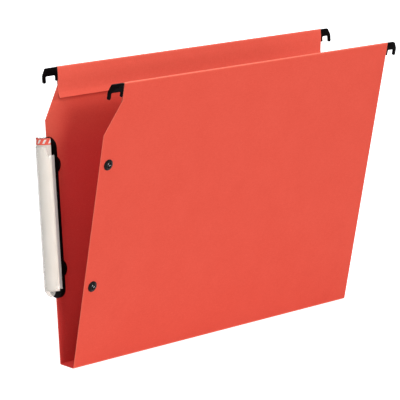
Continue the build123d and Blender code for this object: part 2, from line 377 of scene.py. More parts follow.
def add_slab(bm, outline, low, high, place, edge_round):
    """Adds a plate of that outline between two levels, with rounded rims."""
    plate = bmesh.new()
    bottom = [plate.verts.new(place(u, v, low)) for u, v in outline]
    top = [plate.verts.new(place(u, v, high)) for u, v in outline]
    caps = [plate.faces.new(bottom), plate.faces.new(top)]
    for index in range(len(outline)):
        after = (index + 1) % len(outline)
        plate.faces.new((bottom[index], bottom[after], top[after], top[index]))
    bmesh.ops.recalc_face_normals(plate, faces=plate.faces)
    rim = [edge for face in caps for edge in face.edges]
    bmesh.ops.bevel(
        plate, geom=rim, offset=edge_round, segments=3, profile=0.5, affect="EDGES", clamp_overlap=True
    )
    scrap = bpy.data.meshes.new("plate")
    plate.to_mesh(scrap)
    plate.free()
    bm.from_mesh(scrap)
    bpy.data.meshes.remove(scrap)


def join_rings(bm, rings, closed):
    """Faces between rings or rows of points, one after the other; a ring may be a single point."""
    for lower, upper in zip(rings, rings[1:]):
        count = max(len(lower), len(upper))
        for index in range(count if closed else count - 1):
            after = (index + 1) % count
            corners = [lower[index % len(lower)], lower[after % len(lower)]]
            corners += [upper[after % len(upper)], upper[index % len(upper)]]
            bm.faces.new(list(dict.fromkeys(corners)))


def lathe(profile, segments, place):
    """Closed turned shape from a profile (radius, height) that starts and ends on its axis."""
    bm = bmesh.new()
    rings = []
    for radius, height in profile:
        ring = []
        for index in range(segments if radius else 1):
            angle = 2 * math.pi * index / segments
            ring.append(bm.verts.new(place(radius * math.cos(angle), radius * math.sin(angle), height)))
        rings.append(ring)
    join_rings(bm, rings, closed=True)
    bmesh.ops.recalc_face_normals(bm, faces=bm.faces)
    return bm


# Directions in which an outline (u, v) and its levels w are laid on a panel's axes


def along_panel(u, v, w):
    """Flat on the panel, levels in towards the pocket."""
    return Vector((u, v, w))


def outwards(u, v, w):
    """Flat on the panel, levels out from its outer face."""
    return Vector((u, v, -w))


def end_on(u, v, w):
    """Across the card's edge, seen along the rail: u in towards the pocket, v up, w along the rail."""
    return Vector((w, v, u))


def level(u, v, w):
    """Across the holder: u along the rail, v in towards the pocket, w up."""
    return Vector((u, w, v))


# Geometry nodes that set copies of a fastener along a line


def copies_tree():
    tree = bpy.data.node_groups.new("fastener_copies", "GeometryNodeTree")
    kinds = {
        "Geometry": "Geometry",
        "First": "Vector",
        "Step": "Vector",
        "Copies": "Int",
        "Finish": "Material",
    }
    for name, kind in kinds.items():
        tree.interface.new_socket(name, in_out="INPUT", socket_type="NodeSocket" + kind)
    tree.interface.new_socket("Geometry", in_out="OUTPUT", socket_type="NodeSocketGeometry")
    given = tree.nodes.new("NodeGroupInput")
    line = tree.nodes.new("GeometryNodeMeshLine")
    line.mode = "OFFSET"
    on_points = tree.nodes.new("GeometryNodeInstanceOnPoints")
    realize = tree.nodes.new("GeometryNodeRealizeInstances")
    paint = tree.nodes.new("GeometryNodeSetMaterial")
    result = tree.nodes.new("NodeGroupOutput")
    link = tree.links.new
    link(given.outputs["Copies"], line.inputs["Count"])
    link(given.outputs["First"], line.inputs["Start Location"])
    link(given.outputs["Step"], line.inputs["Offset"])
    link(line.outputs["Mesh"], on_points.inputs["Points"])
    link(given.outputs["Geometry"], on_points.inputs["Instance"])
    link(on_points.outputs["Instances"], realize.inputs["Geometry"])
    link(realize.outputs["Geometry"], paint.inputs["Geometry"])
    link(given.outputs["Finish"], paint.inputs["Material"])
    link(paint.outputs["Geometry"], result.inputs["Geometry"])
    return tree


COPIES = copies_tree()
STUD_PAIR = {"First": (STUD_X, STUD_LOW, 0), "Step": (0, STUD_STEP, 0), "Copies": 2}
RIVET_PAIR = {"First": (RIVET_X, RIVET_LOW, 0), "Step": (0, RIVET_STEP, 0), "Copies": 2}


def fastener_pair(name, bm, pair, material, axes, sharp=32.0):
    """Both copies of a fastener on its panel, as one plain mesh."""
    piece = new_piece(name, bm)
    modifier = piece.modifiers.new("copies", "NODES")
    modifier.node_group = COPIES
    values = {**pair, "Finish": material}
    for socket in COPIES.interface.items_tree:
        if socket.in_out == "INPUT" and socket.name in values:
            modifier[socket.identifier] = values[socket.name]
    settle_modifiers(piece)
    set_in_place(piece, axes, sharp)
    return piece


# Small tools for shaders


def node_group(name, inputs, outputs):
    group = bpy.data.node_groups.new(name, "ShaderNodeTree")
    for label, value in inputs.items():
        socket = group.interface.new_socket(label, in_out="INPUT", socket_type="NodeSocketFloat")
        socket.default_value = value
    for label in outputs:
        group.interface.new_socket(label, in_out="OUTPUT", socket_type="NodeSocketFloat")
    return group, group.nodes.new("NodeGroupInput"), group.nodes.new("NodeGroupOutput")


def add_math(tree, operation, first, second=None):
    """Math node; each operand is a socket or a number."""
    node = tree.nodes.new("ShaderNodeMath")
    node.operation = operation
    for index, operand in enumerate((first, second)):
        if operand is None:
            continue
        if isinstance(operand, (int, float)):
            node.inputs[index].default_value = operand
        else:
            tree.links.new(operand, node.inputs[index])
    return node.outputs[0]


def about_half(tree, value, strength):
    """Spreads a value that lies about a half further from it or nearer to it."""
    return add_math(tree, "MULTIPLY", add_math(tree, "SUBTRACT", value, 0.5), strength)


def object_millimetres(tree, grain):
    """Object coordinates, in units of so many millimetres along each axis."""
    coordinates = tree.nodes.new("ShaderNodeTexCoord")
    mapping = tree.nodes.new("ShaderNodeMapping")
    mapping.inputs["Scale"].default_value = [1 / MM / length for length in grain]
    tree.links.new(coordinates.outputs["Object"], mapping.inputs["Vector"])
    return mapping.outputs["Vector"]


def add_noise(tree, grain, detail=2.0, roughness=0.5, distortion=0.0):
    """Noise with grains of so many millimetres along each axis."""
    noise = tree.nodes.new("ShaderNodeTexNoise")
    noise.inputs["Scale"].default_value = 1.0
    noise.inputs["Detail"].default_value = detail
    noise.inputs["Roughness"].default_value = roughness
    noise.inputs["Distortion"].default_value = distortion
    tree.links.new(object_millimetres(tree, grain), noise.inputs["Vector"])
    return noise.outputs["Fac"]


def spread(tree, value, low, high, to_low=0.0, to_high=1.0):
    """Maps the span from low to high on to another, and stops at its ends."""
    node = tree.nodes.new("ShaderNodeMapRange")
    node.inputs["From Min"].default_value = low
    node.inputs["From Max"].default_value = high
    node.inputs["To Min"].default_value = to_low
    node.inputs["To Max"].default_value = to_high
    tree.links.new(value, node.inputs["Value"])
    return node.outputs["Result"]


def below_line(tree, value, line, softness=0.1):
    """1 below a line and 0 above it, with a soft edge."""
    return spread(tree, value, line + softness, line - softness)


def read_attribute(tree, name):
    node = tree.nodes.new("ShaderNodeAttribute")
    node.attribute_name = name
    return node.outputs["Fac"]


def mix_colours(tree, share, first, second):
    """Colour between two, each a socket or a linear RGB triple."""
    node = tree.nodes.new("ShaderNodeMix")
    node.data_type = "RGBA"
    tree.links.new(share, node.inputs["Factor"])
    for socket, colour in ((node.inputs[6], first), (node.inputs[7], second)):
        if isinstance(colour, tuple):
            socket.default_value = (*colour, 1)
        else:
            tree.links.new(colour, socket)
    return node.outputs[2]


def add_bump(tree, shader, height, strength, depth):
    bump = tree.nodes.new("ShaderNodeBump")
    bump.inputs["Strength"].default_value = strength
    bump.inputs["Distance"].default_value = depth * MM
    tree.links.new(height, bump.inputs["Height"])
    tree.links.new(bump.outputs["Normal"], shader.inputs["Normal"])


def new_material(name):
    material = bpy.data.materials.new(name)
    material.use_nodes = True
    return material, material.node_tree, material.node_tree.nodes["Principled BSDF"]


def use_group(tree, group, **values):
    node = tree.nodes.new("ShaderNodeGroup")
    node.node_tree = group
    for label, value in values.items():
        node.inputs[label.replace("_", " ")].default_value = value
    return node.outputs


# Shared effects for the materials


def paper_fibres_group():
    """Felted fibres of card and paper: cloudy tone, single flecks and the height of the felt."""
    inputs = {"Cloud": 1.0, "Felt": 1.0}
    group, given, result = node_group("paper_fibres", inputs, ("Tone", "Flecks", "Height"))
    clouds = add_noise(group, (26, 26, 26), detail=4.0, roughness=0.6)
    along = add_noise(group, (3.2, 0.42, 0.42), detail=3.0, roughness=0.6, distortion=0.6)
    across = add_noise(group, (0.45, 0.45, 2.6), detail=3.0, roughness=0.6, distortion=0.6)
    grain = add_noise(group, (0.35, 0.35, 0.35))
    felt = add_math(group, "MULTIPLY", add_math(group, "ADD", along, across), 0.5)
    cloudy = about_half(group, clouds, given.outputs["Cloud"])
    felted = about_half(group, felt, given.outputs["Felt"])
    tone = add_math(group, "ADD", add_math(group, "ADD", cloudy, felted), 0.5)
    group.links.new(tone, result.inputs["Tone"])
    fleck = add_noise(group, (1.5, 0.3, 0.3), detail=1.0, distortion=1.2)
    group.links.new(spread(group, fleck, 0.66, 0.74), result.inputs["Flecks"])
    coarse = add_math(group, "MULTIPLY", felt, 0.7)
    fine = add_math(group, "MULTIPLY", grain, 0.3)
    group.links.new(add_math(group, "ADD", coarse, fine), result.inputs["Height"])
    return group


def moulded_skin_group():
    """Skin of a black moulding: spark-eroded grain, flow marks in the gloss and a trace of dust."""
    inputs = {"Grain size": 0.12, "Flow": 1.0}
    group, given, result = node_group("moulded_skin", inputs, ("Grain", "Gloss", "Dust"))
    coordinates = group.nodes.new("ShaderNodeTexCoord")
    scaled = group.nodes.new("ShaderNodeVectorMath")
    scaled.operation = "SCALE"
    group.links.new(coordinates.outputs["Object"], scaled.inputs[0])
    per_metre = add_math(group, "DIVIDE", 1 / MM, given.outputs["Grain size"])
    group.links.new(per_metre, scaled.inputs["Scale"])
    grain = group.nodes.new("ShaderNodeTexVoronoi")
    grain.inputs["Scale"].default_value = 1.0
    group.links.new(scaled.outputs["Vector"], grain.inputs["Vector"])
    group.links.new(grain.outputs["Distance"], result.inputs["Grain"])
    flow = add_noise(group, (6, 1.6, 6), detail=3.0, distortion=0.8)
    gloss = add_math(group, "ADD", about_half(group, flow, given.outputs["Flow"]), 0.5)
    group.links.new(gloss, result.inputs["Gloss"])
    specks = spread(group, add_noise(group, (0.22, 0.22, 0.22), detail=1.0), 0.66, 0.76)
    patches = spread(group, add_noise(group, (5, 5, 5)), 0.45, 0.7)
    group.links.new(add_math(group, "MULTIPLY", specks, patches), result.inputs["Dust"])
    return group


PAPER_FIBRES = paper_fibres_group()
MOULDED_SKIN = moulded_skin_group()


# Materials


def kraft_card():
    """Orange-red dyed kraft card. Painted shade darkens it inside the pocket, at the pocket's base and in a
    line under the flap; folds and cut edges are paler from rubbing, with a painted highlight; painted light
    makes the flap and the pocket's open ends paler.
    """
    material, tree, shader = new_material("orange_kraft_card")
    fibres = use_group(tree, PAPER_FIBRES, Cloud=0.26, Felt=0.8)
    tone = spread(tree, fibres["Tone"], 0.3, 0.7)
    card_dye = mix_colours(tree, tone, (0.755, 0.086, 0.054), (0.840, 0.114, 0.075))
    # Darker dye for the painted shade inside the pocket
    deep_shade = mix_colours(tree, tone, (0.715, 0.052, 0.045), (0.795, 0.068, 0.062))
    shaded_dye = mix_colours(tree, read_attribute(tree, "painted_pocket_shade"), card_dye, deep_shade)
    # Painted shadow at the pocket's base and in a line under the flap
    painted_shadow = mix_colours(tree, read_attribute(tree, "painted_shadow"), shaded_dye, (0.36, 0.024, 0.018))
    flecks = add_math(tree, "MULTIPLY", fibres["Flecks"], 0.35)
    flecked = mix_colours(tree, flecks, painted_shadow, (0.88, 0.18, 0.12))
    raised = spread(tree, fibres["Height"], 0.35, 0.6, 0.55, 1.0)
    # Paler folds and cut edges, rubbed and with a painted highlight, and the painted light of the flap and
    # open ends
    rubbed_and_lit = add_math(tree, "MULTIPLY", read_attribute(tree, "wear_and_painted_light"), raised)
    tree.links.new(mix_colours(tree, rubbed_and_lit, flecked, (1.0, 0.31, 0.21)), shader.inputs["Base Color"])
    matt = spread(tree, fibres["Height"], 0.3, 0.7, 0.84, 0.68)
    tree.links.new(matt, shader.inputs["Roughness"])
    shader.inputs["Specular IOR Level"].default_value = 0.06
    add_bump(tree, shader, fibres["Height"], 0.35, 0.06)
    return material


def label_paper():
    """Cream paper with a printed orange band at its head, barred in white."""
    material, tree, shader = new_material("label_paper")
    fibres = use_group(tree, PAPER_FIBRES, Cloud=0.4, Felt=0.5)
    tone = spread(tree, fibres["Tone"], 0.3, 0.7)
    paper = mix_colours(tree, tone, (0.747, 0.689, 0.612), (0.797, 0.747, 0.675))
    sheet = tree.nodes.new("ShaderNodeUVMap")
    sheet.uv_map = "label_sheet"
    split = tree.nodes.new("ShaderNodeSeparateXYZ")
    tree.links.new(sheet.outputs["UV"], split.inputs[0])
    round_bow = split.outputs["X"]
    below_head = split.outputs["Y"]
    band = below_line(tree, below_head, BAND_HEIGHT, 0.12)
    slanted = add_math(tree, "ADD", round_bow, add_math(tree, "MULTIPLY", below_head, BAR_SLANT))
    repeated = add_math(tree, "WRAP", slanted, BAR_PITCH)
    from_bar = add_math(tree, "ABSOLUTE", add_math(tree, "SUBTRACT", repeated, BAR_PITCH / 2))
    from_middle = add_math(tree, "ABSOLUTE", add_math(tree, "SUBTRACT", below_head, BAND_HEIGHT / 2))
    across_bar = below_line(tree, from_bar, BAR_HALF_WIDTH)
    along_bar = below_line(tree, from_middle, BAR_HALF_HEIGHT)
    barred = add_math(tree, "MULTIPLY", across_bar, along_bar)
    ink = mix_colours(tree, barred, (0.86, 0.115, 0.075), (0.88, 0.84, 0.78))
    face = add_math(tree, "SUBTRACT", 1.0, read_attribute(tree, "label_back"))
    printed = add_math(tree, "MULTIPLY", band, face)
    tree.links.new(mix_colours(tree, printed, paper, ink), shader.inputs["Base Color"])
    smooth = spread(tree, fibres["Height"], 0.3, 0.7, 0.72, 0.52)
    tree.links.new(smooth, shader.inputs["Roughness"])
    shader.inputs["Specular IOR Level"].default_value = 0.3
    add_bump(tree, shader, fibres["Height"], 0.25, 0.03)
    return material


def black_moulding(name, colour, grain, grain_depth, rough, specular):
    """Black plastic with moulded grain, uneven gloss, a trace of dust and a shine where it is polished."""
    material, tree, shader = new_material(name)
    skin = use_group(tree, MOULDED_SKIN, Grain_size=grain)
    dusty = add_math(tree, "MULTIPLY", skin["Dust"], 0.12)
    tree.links.new(mix_colours(tree, dusty, colour, (0.16, 0.15, 0.14)), shader.inputs["Base Color"])
    moulded = spread(tree, skin["Gloss"], 0.25, 0.75, *rough)
    polished = spread(tree, read_attribute(tree, "polish"), 0, 1, 1.0, 0.45)
    tree.links.new(add_math(tree, "MULTIPLY", moulded, polished), shader.inputs["Roughness"])
    shader.inputs["Specular IOR Level"].default_value = specular
    add_bump(tree, shader, skin["Grain"], 0.3, grain_depth)
    return material


def rolled_steel():
    """Cold-rolled strip: fine rolling lines along the rail and a little bloom."""
    material, tree, shader = new_material("rolled_steel")
    lines = add_noise(tree, (18, 0.12, 0.12), detail=3.0)
    bloom = spread(tree, add_noise(tree, (9, 4, 4), detail=3.0), 0.35, 0.7)
    colour = mix_colours(tree, bloom, (0.50, 0.51, 0.53), (0.62, 0.62, 0.62))
    tree.links.new(colour, shader.inputs["Base Color"])
    shader.inputs["Metallic"].default_value = 1.0
    tree.links.new(spread(tree, lines, 0.3, 0.7, 0.28, 0.46), shader.inputs["Roughness"])
    add_bump(tree, shader, lines, 0.2, 0.02)
    return material


def clear_plastic():
    """Clear cover gone a little milky, with painted shade that greys it edge on and at its foot; lamps shine
    through it.
    """
    material, tree, shader = new_material("clear_plastic")
    haze = add_noise(tree, (7, 7, 16), detail=4.0, roughness=0.6)
    draw_lines = add_noise(tree, (0.8, 0.8, 60), detail=1.0)
    tint = mix_colours(tree, spread(tree, haze, 0.4, 0.7), (0.965, 0.94, 0.90), (0.985, 0.965, 0.935))
    # Painted shade: greyer where the cover is seen edge on
    edge = tree.nodes.new("ShaderNodeLayerWeight")
    edge.inputs["Blend"].default_value = 0.5
    edge_on = spread(tree, edge.outputs["Facing"], 0.55, 0.95)
    edge_on_shaded = mix_colours(tree, edge_on, tint, (0.70, 0.665, 0.61))
    # Painted shade: greyer towards the foot of the dome
    foot_shaded = mix_colours(tree, read_attribute(tree, "foot"), edge_on_shaded, (0.80, 0.77, 0.70))
    tree.links.new(foot_shaded, shader.inputs["Base Color"])
    tree.links.new(spread(tree, haze, 0.4, 0.75, 0.10, 0.24), shader.inputs["Roughness"])
    shader.inputs["IOR"].default_value = 1.49
    shader.inputs["Transmission Weight"].default_value = 0.72
    path = tree.nodes.new("ShaderNodeLightPath")
    let_through = add_math(tree, "MULTIPLY", path.outputs["Is Shadow Ray"], 0.92)
    tree.links.new(add_math(tree, "SUBTRACT", 1.0, let_through), shader.inputs["Alpha"])
    add_bump(tree, shader, draw_lines, 0.08, 0.02)
    return material


CARD_FINISH = kraft_card()
LABEL_FINISH = label_paper()
HOOK_FINISH = black_moulding("hook_black", (0.0019, 0.0011, 0.0013), 0.16, 0.008, (0.36, 0.52), 0.02)
STUD_FINISH = black_moulding("stud_black", (0.0045, 0.0036, 0.0040), 0.30, 0.003, (0.14, 0.25), 0.09)
HOLDER_FINISH = black_moulding("holder_black", (0.0019, 0.0011, 0.0013), 0.18, 0.008, (0.32, 0.48), 0.025)
STEEL_FINISH = rolled_steel()
CLEAR_FINISH = clear_plastic()


# Card sheets


def columns_between(low, high):
    """Places across the card: close together beside the two cut edges and wider between."""
    first = low + WIDE_MARGIN
    width = high - low - 2 * WIDE_MARGIN
    wide = [first + width * index / WIDE_COLUMNS for index in range(WIDE_COLUMNS + 1)]
    return [low + step for step in EDGE_COLUMNS] + wide + [high - step for step in reversed(EDGE_COLUMNS)]


def sheet_left(height):
    """The user-side edge of a panel at a height, with its cut corner."""
    share = (height - CUT_LOW) / (CUT_HIGH - CUT_LOW)
    return USER_EDGE + CUT_WIDTH * min(1.0, max(0.0, share))


def hem_rows():
    """Rows of a panel, crease to flap end: height, depth, left end, right end and distance from the fold."""
    heights = [CREASE_STRIP_TOP, *CREASE_ROWS, *spaced(2 * CREASE_ROWS[-1], CUT_LOW - 3.5, ROW_STEP)]
    heights += [CUT_LOW + step for step in CORNER_ROWS]
    # Close rows under the flap's end carry its painted shadow line
    heights += [FLAP_END - drop for drop in FLAP_SHADOW_ROWS]
    heights += [CUT_HIGH + step for step in CORNER_ROWS]
    heights += [HEM_AXIS - drop for drop in FOLD_ROWS]
    fold_length = HEM_AXIS + RAIL_OFFSET * math.pi / 2
    rows = [(height, 0.0, sheet_left(height), HEM_RIGHT, fold_length - height) for height in heights]
    for step in range(1, FOLD_STEPS + 1):
        angle = math.pi * (1 - step / FOLD_STEPS)
        height = HEM_AXIS + RAIL_OFFSET * math.sin(angle)
        depth = RAIL_OFFSET + RAIL_OFFSET * math.cos(angle)
        rows.append((height, depth, HEM_LEFT, HEM_RIGHT, abs(math.pi / 2 - angle) * RAIL_OFFSET))
    for rise in INNER_HEM_ROWS:
        rows.append((SLANT_TOP + rise, 2 * RAIL_OFFSET, HEM_LEFT, HEM_RIGHT, FAR_FROM_FOLD))
    for step in range(SLANT_STEPS + 1):
        share = step / SLANT_STEPS
        height = SLANT_TOP + (SLANT_FOOT - SLANT_TOP) * share
        depth = 2 * RAIL_OFFSET + (CARD - 2 * RAIL_OFFSET) * ease(share)
        rows.append((height, depth, HEM_LEFT, HEM_RIGHT, FAR_FROM_FOLD))
    for rise in FLAP_ROWS:
        depth = CARD + FLAP_LIFT * max(0.0, 1 - rise / CURL_LENGTH) ** 1.5
        inset = FLAP_INSET * (SLANT_FOOT - FLAP_END - rise) / (SLANT_FOOT - FLAP_END)
        rows.append((FLAP_END + rise, depth, HEM_LEFT + inset, HEM_RIGHT - inset, FAR_FROM_FOLD))
    return rows


def slack(along, height, hand):
    """Slight bow of a panel away from its plane, none beside its fasteners, crease and hem."""
    if along < SLACK_LEFT or height > SLACK_TOP:
        return 0.0
    across = math.sin(math.pi * (along - SLACK_LEFT) / (HEM_RIGHT - SLACK_LEFT))
    upward = math.sin(math.pi * height / SLACK_TOP)
    ripple = math.sin(along / RIPPLE_ALONG + hand) * math.sin(height / RIPPLE_UP + 2 * hand)
    return across * upward * (SLACK_BOW * hand + RIPPLE * ripple)


def mark_light(mesh, pocket):
    """Marks painted shade that deepens into the pocket away from its open ends and below the flap, a painted
    shadow at the pocket's base and in a line under the flap, and painted light on the flap and along the open
    ends.
    """
    for mark in ("painted_pocket_shade", "painted_shadow"):
        mesh.attributes.new(mark, "FLOAT", "POINT")
    painted_pocket_shade, painted_shadow, wear_and_painted_light = (mesh.attributes[mark].data for mark in ("painted_pocket_shade", "painted_shadow", "wear_and_painted_light"))
    for vert in mesh.vertices:
        if vert.normal.dot(pocket) < 0.3:
            continue
        below = max(0.0, FLAP_END - vert.co.y)
        # Painted shadow: darker near the base and in a thin line just under the flap's end
        flap_shadow = PAINTED_FLAP_SHADOW * fade(below, FLAP_SHADOW_REACH) if vert.co.z < CARD else 0.0
        painted_shadow[vert.index].value = PAINTED_BASE_SHADE * fade(max(0.0, vert.co.y), BASE_SHADE_REACH) + flap_shadow
        # Painted shade: deeper away from the pocket's open ends and further below the flap
        reach = max(POCKET_SHADE_LEAST, POCKET_SHADE_REACH * (vert.co.y / FLAP_END) ** 2)
        inside = ease(min(1.0, min(vert.co.x - USER_EDGE, HEM_RIGHT - vert.co.x) / reach))
        deep_shade = MOUTH_SHADE + (1 - MOUTH_SHADE) * min(1.0, below / MOUTH_REACH)
        on_flap = vert.co.y > FLAP_END - 0.1
        painted_pocket_shade[vert.index].value = 0.0 if on_flap else inside * deep_shade
        # Painted light: paler on the flap and along the pocket's open ends
        wear_and_painted_light[vert.index].value += FLAP_PAINTED_LIGHT if on_flap else EDGE_STRIP_PAINTED_LIGHT * (1 - inside)


def card_from_rows(name, rows, axes, shift, pocket=Vector((0, 0, 1))):
    """Sheet of card through rows of points, with its thickness, the wear and painted highlight of its folds
    and edges, and the painted light and shade of mark_light.
    """
    bm = bmesh.new()
    wear_light_layer = bm.verts.layers.float.new("wear_and_painted_light")
    grid = []
    for height, depth, left, right, from_fold in rows:
        line = []
        for along in columns_between(left, right):
            vert = bm.verts.new(shift(along, height, depth))
            # Wear and painted highlight along folds and cut edges
            folded = FOLD_WEAR_AND_HIGHLIGHT * fade(from_fold, FOLD_HIGHLIGHT_REACH)
            cut = EDGE_WEAR_AND_HIGHLIGHT * fade(min(along - left, right - along), EDGE_HIGHLIGHT_REACH)
            vert[wear_light_layer] = min(1.0, folded + cut)
            line.append(vert)
        grid.append(line)
    join_rings(bm, grid, closed=False)
    piece = new_piece(name, bm)
    add_thickness(piece, CARD)
    settle_modifiers(piece)
    mark_light(piece.data, pocket)
    set_in_place(piece, axes, sharp=40.0)
    return piece


def make_panel_card(name, axes, hand, body, node):
    """One panel with its hem folded over the rail and its flap glued down inside."""

    def shift(along, height, depth):
        return Vector((along, height, depth + (slack(along, height, hand) if depth == 0 else 0)))

    piece = card_from_rows(name, hem_rows(), axes, shift)
    finish_piece(piece, CARD_FINISH, "card", body, node)


def make_crease(name, side, lean, spared):
    """Bent strip of card that follows the base and a panel; spared is larger where its fold has less wear and
    painted highlight.
    """
    turn = math.radians(lean)
    bend = math.radians(90 - lean)
    up = Vector((0, side * math.sin(turn), math.cos(turn)))
    crease = Vector((0, side * CREASE_Y, CREASE_Z))
    meet = crease + up * ((CARD / 2 - CREASE_Z) / math.cos(turn))
    centre = meet + Vector((0, -side * math.tan(bend / 2), 1)) * CREASE_BEND_R

    def on_base(from_crease):
        return Vector((0, side * (CREASE_Y - from_crease), CARD / 2))

    # Each point has its distance from the fold, by which it wears and takes its painted highlight
    points = [(on_base(CREASE_Y - CREASE_STRIP_END), STRIP_FROM_FOLD)]
    points.append((on_base(CREASE_BASE_ROW), spared + CREASE_BEND_R))
    for step in range(BEND_STEPS + 1):
        angle = bend * step / BEND_STEPS
        spoke = Vector((0, side * math.sin(angle), -math.cos(angle))) * CREASE_BEND_R
        points.append((centre + spoke, spared + abs(angle - bend / 2) * CREASE_BEND_R))
    points.append((crease + up * CREASE_BEND_R, spared + PANEL_FROM_FOLD))
    points.append((crease + up * CREASE_STRIP_TOP, spared + CREASE_BEND_R))
    rows = [(index, 0.0, USER_EDGE, HEM_RIGHT, distance) for index, (point, distance) in enumerate(points)]

    def shift(along, index, depth):
        return points[index][0] + Vector((along, 0, 0))

    piece = card_from_rows(name, rows, WHOLE, shift, Vector((0, -side, 1)).normalized())
    piece.data.materials.append(CARD_FINISH)
    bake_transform(piece)


def make_base_card():
    """Flat strip between the two creases."""
    places = spaced(-CREASE_STRIP_END, CREASE_STRIP_END, BASE_ROW_STEP)
    rows = [(place, 0.0, USER_EDGE, HEM_RIGHT, FAR_FROM_FOLD) for place in places]

    def shift(along, place, depth):
        return Vector((along, place, CARD / 2))

    piece = card_from_rows("base_card", rows, WHOLE, shift)
    finish_piece(piece, CARD_FINISH, "card", "base", "base_gusset")


# Hooks


def hook_outline(side, inner, notch):
    """Outline of a rail end: plate over the notch, long outer prong, short inner prong beside the hem."""
    notch_in = NOTCH_MID - notch / 2
    notch_out = NOTCH_MID + notch / 2
    outer = notch_out + OUTER_PRONG
    corners = [
        (inner, HOOK_TOP, 0.25),
        (outer - SHOULDER_WIDTH, HOOK_TOP, SHOULDER_R),
        (outer, HOOK_TOP - SHOULDER_DROP, SHOULDER_R),
        (outer, OUTER_TIP, OUTER_TIP_R),
        (notch_out, OUTER_TIP, OUTER_TIP_R),
        (notch_out, NOTCH_ROOF, NOTCH_R),
        (notch_in, NOTCH_ROOF, NOTCH_R),
        (notch_in, INNER_TIP, INNER_TIP_R),
        (inner, INNER_TIP, INNER_TIP_R),
    ]
    return [(side * u, v) for u, v in rounded_outline(corners)]


def make_hooks(name, axes, body, nodes):
    """Both black ends of one rail, each crimped to it at two pips."""
    bm = bmesh.new()
    low = RAIL_OFFSET - HOOK_THICKNESS / 2
    high = RAIL_OFFSET + HOOK_THICKNESS / 2
    for side, hem_end, notch in ((-1, HEM_LEFT, LEFT_NOTCH), (1, HEM_RIGHT, RIGHT_NOTCH)):
        inner = abs(hem_end) + HOOK_GAP
        add_slab(bm, hook_outline(side, inner, notch), low, high, along_panel, edge_round=0.3)
        for place in PIP_PLACES:
            centre = (side * (inner + place), RAIL_TOP - RAIL_HEIGHT / 2)
            pip = arc_points(centre, PIP_R, 0, 345, 23)
            add_slab(bm, pip, low - PIP_RISE, high + PIP_RISE, along_panel, edge_round=0.09)
    piece = new_piece(name, bm)
    set_in_place(piece, axes, sharp=30.0)
    finish_piece(piece, HOOK_FINISH, "hook_plastic", body, *nodes)


# Press studs and rivets


def stud_profile():
    """Half section of a press stud: socket, rolled lip, shallow dome, rim and shank."""
    seat = CARD / 2
    socket = [(0, SOCKET_FLOOR), (SOCKET_R - 0.3, SOCKET_FLOOR), (SOCKET_R - 0.1, SOCKET_FLOOR + 0.06)]
    socket += [(SOCKET_R, SOCKET_FLOOR + 0.2), (SOCKET_R, LIP_LEVEL)]
    lip = arc_points((LIP_MIDDLE, LIP_LEVEL), LIP_R, 175, 35, 9)
    dome = arc_points((LIP_MIDDLE, STUD_DOME_TOP - STUD_DOME_R), STUD_DOME_R, 80, 57.75, 4)
    rim = arc_points((STUD_R - STUD_RIM_R, 2 * STUD_RIM_R), STUD_RIM_R, 62, 0, 4)
    rim += [(STUD_R, seat + 0.08), (STUD_R - 0.08, seat)]
    shank = [(SHANK_R, seat), (SHANK_R, -SHANK_END), (0, -SHANK_END)]
    return socket + lip + dome + rim + shank


def make_studs():
    """Press studs on the front panel, their lips polished by use and slit into spring fingers."""
    bm = lathe(stud_profile(), 64, outwards)
    polish = bm.verts.layers.float.new("polish")
    for vert in bm.verts:
        radius = math.hypot(vert.co.x, vert.co.y)
        outward = -vert.co.z
        turn = math.degrees(math.atan2(vert.co.y, vert.co.x)) % 90
        vert[polish] = fade(radius - POLISH_R, POLISH_REACH) if outward > POLISH_LEVEL else 0.0
        in_slit = min(turn, 90 - turn) < SLIT_HALF_ANGLE
        if in_slit and SLIT_INNER_R < radius < SLIT_OUTER_R and outward > SLIT_LEVEL:
            vert.co.z += SLIT_DEPTH * fade(max(0.0, radius - SLIT_DEEP_R), SLIT_REACH)
    piece = fastener_pair("press_studs", bm, STUD_PAIR, STUD_FINISH, FRONT)
    finish_piece(piece, STUD_FINISH, "stud_plastic", "front_side", "front_lower_stud", "front_upper_stud")


def make_stud_springs():
    """Two sprung wires in each stud's socket, bowed towards its middle, which grip a stud pushed in."""
    bm = bmesh.new()
    for hand in (-1, 1):
        rings = []
        for along in spaced(WIRE_START, WIRE_START + WIRE_LENGTH, WIRE_LENGTH / 12):
            bow = WIRE_BOW * math.cos(along / WIRE_BOW_REACH * math.pi / 2)
            section = arc_points((hand * (WIRE_ASIDE - bow), -WIRE_LEVEL), WIRE_R, 0, 324, 9)
            rings.append([bm.verts.new((u, along, w)) for u, w in section])
        join_rings(bm, rings, closed=True)
        bm.faces.new(rings[0])
        bm.faces.new(rings[-1])
    turn = Matrix.Rotation(math.radians(WIRE_TURN), 4, "Z")
    bmesh.ops.transform(bm, matrix=turn, verts=bm.verts)
    piece = fastener_pair("stud_springs", bm, STUD_PAIR, STEEL_FINISH, FRONT, sharp=40.0)
    finish_piece(piece, STEEL_FINISH, "steel", "front_side")


def cap_profile(radius):
    """Half section of a fastener's back cap: flat disc with a rolled rim and a dished middle."""
    seat = CARD / 2
    top = seat + CAP_THICKNESS
    dish = [(0, top - CAP_DISH), (radius * 0.35, top - CAP_DISH)]
    dish += [(radius * 0.45, top - CAP_DISH * 0.4), (radius * 0.52, top)]
    rim = arc_points((radius - CAP_RIM_R, top - CAP_RIM_R), CAP_RIM_R, 90, 0, 5)
    return dish + rim + [(radius, seat + 0.12), (radius - 0.12, seat), (0, seat)]


def make_stud_caps():
    """Inner halves of the press studs, in the pocket."""
    bm = lathe(cap_profile(STUD_R), 48, along_panel)
    piece = fastener_pair("stud_caps", bm, STUD_PAIR, STUD_FINISH, FRONT)
    nodes = ("front_lower_stud_cap", "front_upper_stud_cap")
    finish_piece(piece, STUD_FINISH, "stud_plastic", "front_side", *nodes)


